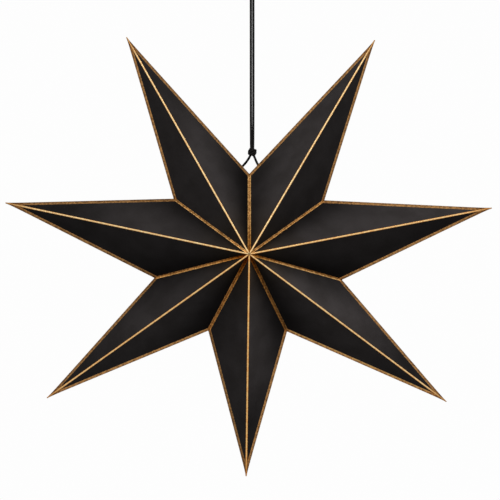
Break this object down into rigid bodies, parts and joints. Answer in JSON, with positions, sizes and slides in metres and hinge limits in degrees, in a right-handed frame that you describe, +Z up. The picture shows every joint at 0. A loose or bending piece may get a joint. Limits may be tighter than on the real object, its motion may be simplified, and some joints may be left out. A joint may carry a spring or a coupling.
{
  "type": "hanging paper star",
  "caption": "Hollow pointed star of folded black card with gold-bordered edges, creased along ridges and valleys, hung by a doubled black cord with a hanging eye.",
  "frame": {"origin": "where a hook bears, inside the crown of the hanging eye", "axes": "+Z up along the cord, -Y the way the star's front faces, +X to the right seen from the front"},
  "size_m": [0.6083, 0.16, 0.6338],
  "materials": {
    "black_card": "matte",
    "black_cord": "matte"
  },
  "bodies": {
    "root": {"arm_upper_right": "black_card", "arm_upper_left": "black_card", "arm_left": "black_card", "arm_lower_left": "black_card", "arm_bottom": "black_card", "arm_lower_right": "black_card", "arm_right": "black_card", "hang_cord": "black_cord"}
  },
  "joints": []
}
